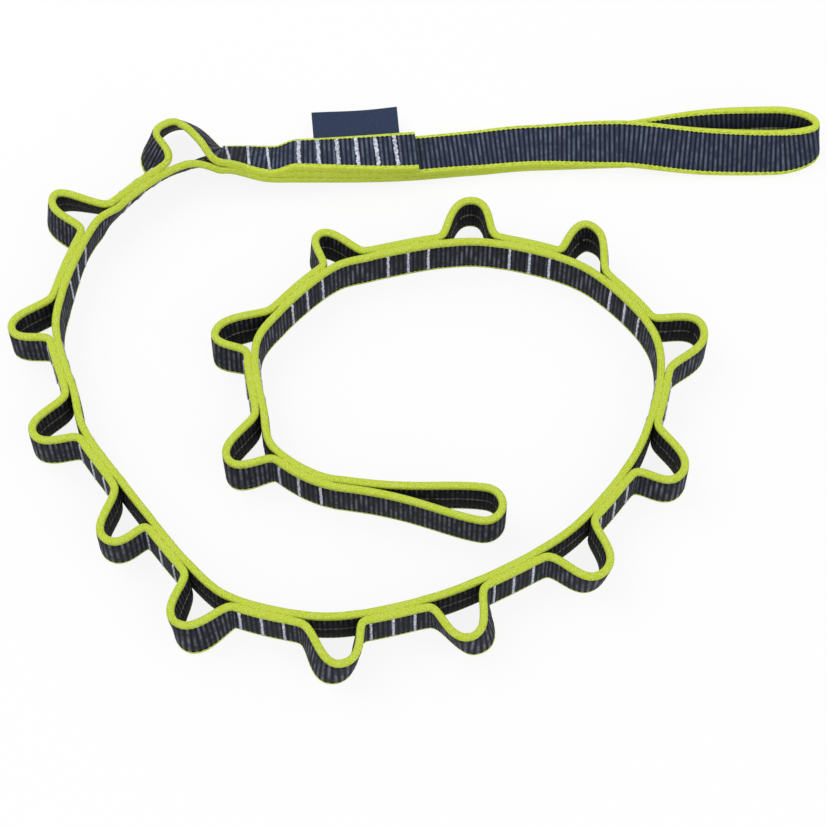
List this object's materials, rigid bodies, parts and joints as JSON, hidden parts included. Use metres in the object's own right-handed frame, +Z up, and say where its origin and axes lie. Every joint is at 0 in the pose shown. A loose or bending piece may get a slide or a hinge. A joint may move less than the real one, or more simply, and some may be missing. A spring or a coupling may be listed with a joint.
{
  "type": "climbing daisy chain",
  "caption": "Sewn webbing chain of clip-in pockets with a girth loop at one end and a clip-in loop at the other.",
  "frame": {"origin": "the middle of the coiled chain's plan, on the surface it lies on", "axes": "+X to the right of the coil as pictured, +Y away from the viewer, +Z up; the webbing stands on its edge"},
  "size_m": [0.3412, 0.264, 0.0212],
  "materials": {
    "webbing": "woven tubular webbing with a lime selvedge",
    "woven_label": "smooth damask weave, bare"
  },
  "bodies": {
    "splice": {"splice_outer_ply": "webbing", "splice_return_ply": "webbing", "splice_main_ply": "webbing", "main_strand_01": "webbing", "pocket_01": "webbing"},
    "unit_02": {"main_strand_02": "webbing", "pocket_02": "webbing"},
    "unit_03": {"main_strand_03": "webbing", "pocket_03": "webbing"},
    "unit_04": {"main_strand_04": "webbing", "pocket_04": "webbing"},
    "unit_05": {"main_strand_05": "webbing", "pocket_05": "webbing"},
    "unit_06": {"main_strand_06": "webbing", "pocket_06": "webbing"},
    "unit_07": {"main_strand_07": "webbing", "pocket_07": "webbing"},
    "unit_08": {"main_strand_08": "webbing", "pocket_08": "webbing"},
    "unit_09": {"main_strand_09": "webbing", "pocket_09": "webbing"},
    "unit_10": {"main_strand_10": "webbing", "pocket_10": "webbing"},
    "unit_11": {"main_strand_11": "webbing", "pocket_11": "webbing"},
    "unit_12": {"main_strand_12": "webbing", "pocket_12": "webbing"},
    "unit_13": {"main_strand_13": "webbing", "pocket_13": "webbing"},
    "unit_14": {"main_strand_14": "webbing", "pocket_14": "webbing"},
    "unit_15": {"main_strand_15": "webbing", "pocket_15": "webbing"},
    "unit_16": {"main_strand_16": "webbing", "pocket_16": "webbing"},
    "end_loop": {"end_loop": "webbing"},
    "strap": {"strap_lower_ply": "webbing", "strap_upper_ply": "webbing"},
    "girth_loop": {"girth_loop": "webbing"},
    "label": {"label": "woven_label"}
  },
  "joints": [
    {"name": "tack_bend_01", "type": "hinge", "parent": "splice", "child": "unit_02", "pos_m": [-0.1117, 0.09717, 0.0106], "axis": [0.2177, -0.3049, 0.9272], "range_deg": [-8, 7]},
    {"name": "tack_bend_02", "type": "hinge", "parent": "unit_02", "child": "unit_03", "pos_m": [-0.1423, 0.06326, 0.01], "axis": [0, 0, -1], "range_deg": [-5, 29]},
    {"name": "tack_bend_03", "type": "hinge", "parent": "unit_03", "child": "unit_04", "pos_m": [-0.15226, 0.01417, 0.01], "axis": [0, 0, 1], "range_deg": [-28, 5]},
    {"name": "tack_bend_04", "type": "hinge", "parent": "unit_04", "child": "unit_05", "pos_m": [-0.13836, -0.03067, 0.01], "axis": [0, 0, 1], "range_deg": [-26, 5]},
    {"name": "tack_bend_05", "type": "hinge", "parent": "unit_05", "child": "unit_06", "pos_m": [-0.10984, -0.07015, 0.01], "axis": [0, 0, -1], "range_deg": [-7, 29]},
    {"name": "tack_bend_06", "type": "hinge", "parent": "unit_06", "child": "unit_07", "pos_m": [-0.07661, -0.10443, 0.01], "axis": [0, 0, -1], "range_deg": [-9, 29]},
    {"name": "tack_bend_07", "type": "hinge", "parent": "unit_07", "child": "unit_08", "pos_m": [-0.02734, -0.11176, 0.01], "axis": [0, 0, 1], "range_deg": [-28, 21]},
    {"name": "tack_bend_08", "type": "hinge", "parent": "unit_08", "child": "unit_09", "pos_m": [0.02022, -0.09766, 0.01], "axis": [0, 0, -1], "range_deg": [-17, 29]},
    {"name": "tack_bend_09", "type": "hinge", "parent": "unit_09", "child": "unit_10", "pos_m": [0.06308, -0.07028, 0.01], "axis": [0, 0, 1], "range_deg": [-29, 17]},
    {"name": "tack_bend_10", "type": "hinge", "parent": "unit_10", "child": "unit_11", "pos_m": [0.0902, -0.02942, 0.01], "axis": [0, 0, 1], "range_deg": [-13, 9]},
    {"name": "tack_bend_11", "type": "hinge", "parent": "unit_11", "child": "unit_12", "pos_m": [0.09257, 0.01837, 0.01], "axis": [0, 0, 1], "range_deg": [-11, 7]},
    {"name": "tack_bend_12", "type": "hinge", "parent": "unit_12", "child": "unit_13", "pos_m": [0.05733, 0.05064, 0.01], "axis": [0, 0, -1], "range_deg": [-9, 15]},
    {"name": "tack_bend_13", "type": "hinge", "parent": "unit_13", "child": "unit_14", "pos_m": [0.00883, 0.05824, 0.01], "axis": [0, 0, 1], "range_deg": [-29, 15]},
    {"name": "tack_bend_14", "type": "hinge", "parent": "unit_14", "child": "unit_15", "pos_m": [-0.03928, 0.046, 0.01], "axis": [0, 0, -1], "range_deg": [-29, 22]},
    {"name": "tack_bend_15", "type": "hinge", "parent": "unit_15", "child": "unit_16", "pos_m": [-0.07091, 0.00746, 0.01], "axis": [0, 0, 1], "range_deg": [-19, 27]},
    {"name": "tack_bend_16", "type": "hinge", "parent": "unit_16", "child": "end_loop", "pos_m": [-0.06123, -0.04024, 0.01], "axis": [0, 0, -1], "range_deg": [-29, 6]},
    {"name": "strap_lift", "type": "hinge", "parent": "splice", "child": "strap", "pos_m": [0.00148, 0.10821, 0.00415], "axis": [0.1095, -0.9921, 0.061], "range_deg": [0, 50]},
    {"name": "girth_lift", "type": "hinge", "parent": "strap", "child": "girth_loop", "pos_m": [0.08262, 0.11275, 0.00731], "axis": [0.008, -0.9135, -0.4067], "range_deg": [0, 50]},
    {"name": "label_lift", "type": "hinge", "parent": "splice", "child": "label", "pos_m": [-0.02866, 0.11634, 0.00673], "axis": [0.9884, 0.152, 0], "range_deg": [0, 60]}
  ]
}
